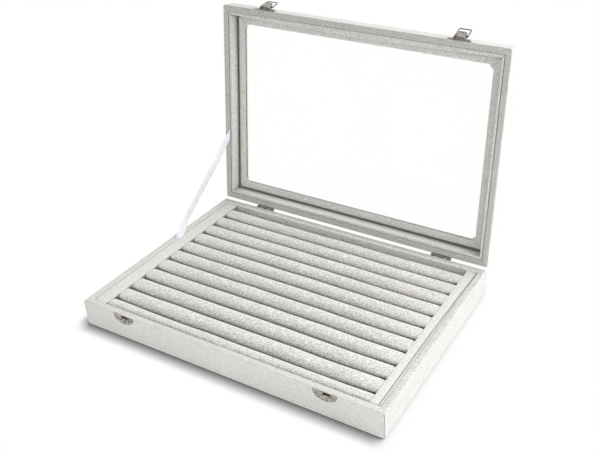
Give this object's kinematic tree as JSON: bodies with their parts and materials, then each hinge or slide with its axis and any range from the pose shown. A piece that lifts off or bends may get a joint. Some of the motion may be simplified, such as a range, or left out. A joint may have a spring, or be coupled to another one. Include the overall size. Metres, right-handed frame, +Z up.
{
  "type": "ring display box",
  "caption": "Velvet-covered ring display box: hinged glazed lid held open by a ribbon, tray of padded ring rolls, toggle latches in front",
  "frame": {"origin": "middle of the flat underside of the base", "axes": "+X to the right seen from the front, +Y from the latches to the hinges, +Z up"},
  "size_m": [0.35, 0.2968, 0.2768],
  "materials": {
    "velvet_board": "velvet-covered board",
    "velvet_foam": "velvet over foam",
    "board": "plain board",
    "glass": "clear",
    "nickel": "satin nickel plate",
    "satin_ribbon": "satin"
  },
  "bodies": {
    "base": {"base_panel": "board", "base_wall_front": "velvet_board", "base_wall_right": "velvet_board", "base_wall_back": "velvet_board", "base_wall_left": "velvet_board", "ledge_front": "velvet_foam", "ledge_right": "velvet_board", "ledge_left": "velvet_board", "packing_strip": "velvet_board", "insert_board": "board", "ring_roll_01": "velvet_foam", "ring_roll_02": "velvet_foam", "ring_roll_03": "velvet_foam", "ring_roll_04": "velvet_foam", "ring_roll_05": "velvet_foam", "ring_roll_06": "velvet_foam", "ring_roll_07": "velvet_foam", "ring_roll_08": "velvet_foam", "ring_roll_09": "velvet_foam", "ring_roll_10": "velvet_foam", "catch_left": "nickel", "catch_right": "nickel", "catch_nails": "nickel", "hinge_leaf_base_left": "nickel", "hinge_leaf_base_right": "nickel", "hinge_pin_left": "nickel", "hinge_pin_right": "nickel", "hinge_nails_base": "nickel", "ribbon_stay": "satin_ribbon"},
    "lid": {"lid_rail_front": "velvet_board", "lid_rail_right": "velvet_board", "lid_rail_back": "velvet_board", "lid_rail_left": "velvet_board", "glass_pane": "glass", "glazing_strip_front": "velvet_board", "glazing_strip_right": "velvet_board", "glazing_strip_back": "velvet_board", "glazing_strip_left": "velvet_board", "lid_liner_front": "velvet_board", "lid_liner_right": "velvet_board", "lid_liner_back": "velvet_board", "lid_liner_left": "velvet_board", "latch_plate_left": "nickel", "latch_plate_right": "nickel", "latch_pin_left": "nickel", "latch_pin_right": "nickel", "latch_nails": "nickel", "hinge_leaf_lid_left": "nickel", "hinge_leaf_lid_right": "nickel", "hinge_nails_lid": "nickel"},
    "lever_left": {"latch_lever_left": "nickel"},
    "loop_left": {"latch_loop_left": "nickel"},
    "lever_right": {"latch_lever_right": "nickel"},
    "loop_right": {"latch_loop_right": "nickel"}
  },
  "joints": [
    {"name": "lid_hinge", "type": "hinge", "parent": "base", "child": "lid", "pos_m": [0, 0.1215, 0.0302], "axis": [1, 0, 0], "range_deg": [0, 97.5], "deforming": ["ribbon_stay"]},
    {"name": "lever_hinge_left", "type": "hinge", "parent": "lid", "child": "lever_left", "pos_m": [-0.118, 0.15571, 0.2717], "axis": [-1, 0, 0], "range_deg": [-95, 15]},
    {"name": "loop_pivot_left", "type": "hinge", "parent": "lever_left", "child": "loop_left", "pos_m": [-0.118, 0.16092, 0.27198], "axis": [1, 0, 0], "range_deg": [-10, 174]},
    {"name": "lever_hinge_right", "type": "hinge", "parent": "lid", "child": "lever_right", "pos_m": [0.118, 0.15571, 0.2717], "axis": [-1, 0, 0], "range_deg": [-95, 15]},
    {"name": "loop_pivot_right", "type": "hinge", "parent": "lever_right", "child": "loop_right", "pos_m": [0.118, 0.16092, 0.27198], "axis": [1, 0, 0], "range_deg": [-19, 165]}
  ]
}
